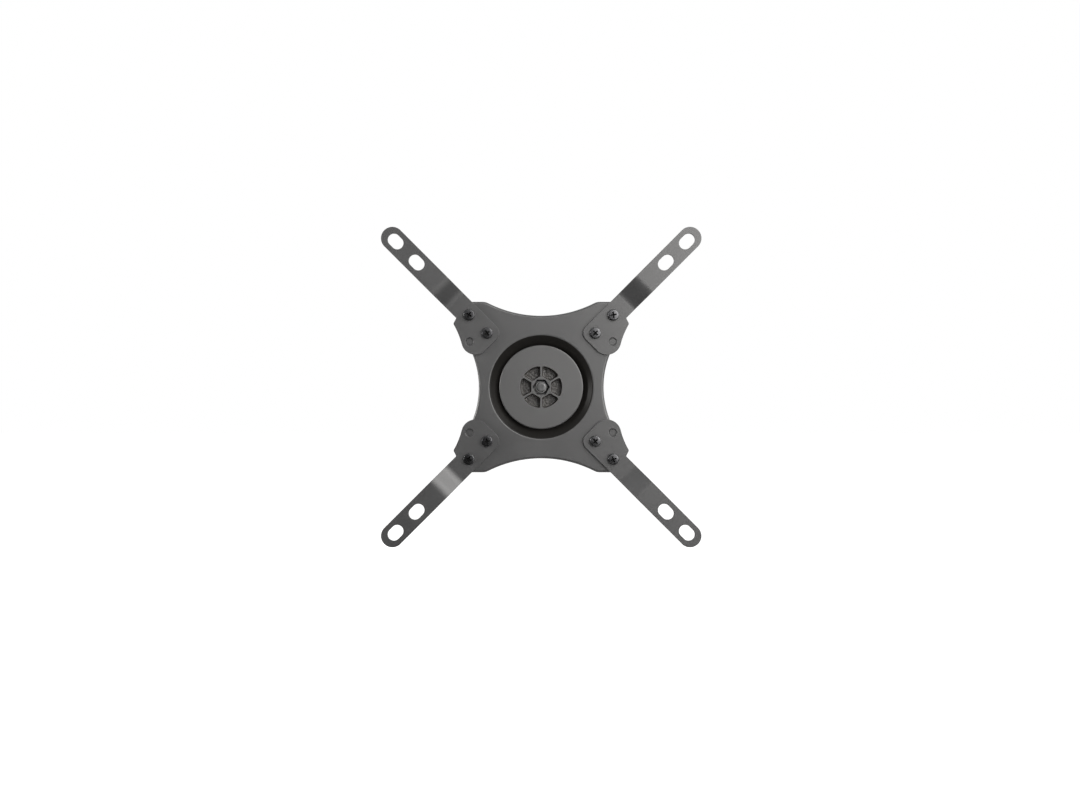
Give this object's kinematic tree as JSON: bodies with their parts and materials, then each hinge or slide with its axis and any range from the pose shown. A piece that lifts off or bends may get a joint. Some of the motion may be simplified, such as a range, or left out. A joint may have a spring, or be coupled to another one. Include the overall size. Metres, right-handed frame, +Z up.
{
  "type": "tv wall mount",
  "caption": "Swivelling wall mount for a flat screen: a lobed plate on a clamped ball joint, slotted extension arms, a swing arm and a small wall plate.",
  "frame": {"origin": "centre of the wall plate's back face, where it touches the wall", "axes": "+Y into the wall, -Y towards the room and the screen, +Z up, X across"},
  "size_m": [0.22, 0.187, 0.22],
  "materials": {
    "coated_steel": "satin dark grey powder coat",
    "coated_casting": "satin dark grey powder coat",
    "coated_aluminium": "satin dark grey powder coat on a casting",
    "zinc_plated": "zinc plated",
    "black_screw": "black oxide",
    "nylon": "natural nylon"
  },
  "bodies": {
    "wall": {"wall_plate": "coated_steel", "wall_yoke": "coated_steel", "yoke_rivets": "zinc_plated", "wall_pivot_bolt": "zinc_plated", "wall_pivot_nut": "zinc_plated", "wall_pivot_washers": "zinc_plated"},
    "arm": {"swing_arm": "coated_aluminium", "wall_end_bushes": "nylon", "head_end_bushes": "nylon"},
    "knuckle": {"knuckle": "coated_steel", "head_pivot_bolt": "zinc_plated", "head_pivot_nut": "zinc_plated", "head_pivot_washers": "zinc_plated", "rear_cup": "coated_casting", "clamp_bolt": "zinc_plated", "clamp_washer": "zinc_plated", "clamp_nut": "zinc_plated", "front_cap": "coated_casting"},
    "rear_liner": {"rear_liner": "nylon"},
    "front_liner": {"front_liner": "nylon"},
    "head": {"screen_plate": "coated_steel", "arm_top_left": "coated_steel", "arm_top_right": "coated_steel", "arm_bottom_left": "coated_steel", "arm_bottom_right": "coated_steel", "screw_inner_top_left": "black_screw", "screw_inner_top_right": "black_screw", "screw_inner_bottom_left": "black_screw", "screw_inner_bottom_right": "black_screw", "screw_outer_top_left": "black_screw", "screw_outer_top_right": "black_screw", "screw_outer_bottom_left": "black_screw", "screw_outer_bottom_right": "black_screw", "nut_inner_top_left": "zinc_plated", "nut_inner_top_right": "zinc_plated", "nut_inner_bottom_left": "zinc_plated", "nut_inner_bottom_right": "zinc_plated", "nut_outer_top_left": "zinc_plated", "nut_outer_top_right": "zinc_plated", "nut_outer_bottom_left": "zinc_plated", "nut_outer_bottom_right": "zinc_plated"}
  },
  "joints": [
    {"name": "wall_swivel", "type": "hinge", "parent": "wall", "child": "arm", "pos_m": [0, -0.028, 0], "axis": [0, 0, 1], "range_deg": [-90, 90]},
    {"name": "head_swivel", "type": "hinge", "parent": "arm", "child": "knuckle", "pos_m": [0, -0.128, 0], "axis": [0, 0, 1], "range_deg": [-90, 90]},
    {"name": "ball_yaw", "type": "hinge", "parent": "knuckle", "child": "rear_liner", "pos_m": [0, -0.21285, 0], "axis": [0, 0, 1], "range_deg": [-10, 10]},
    {"name": "ball_tilt", "type": "hinge", "parent": "rear_liner", "child": "front_liner", "pos_m": [0, -0.21285, 0], "axis": [1, 0, 0], "range_deg": [-10, 10]},
    {"name": "ball_roll", "type": "hinge", "parent": "front_liner", "child": "head", "pos_m": [0, -0.21285, 0], "axis": [0, 1, 0], "continuous": true}
  ]
}
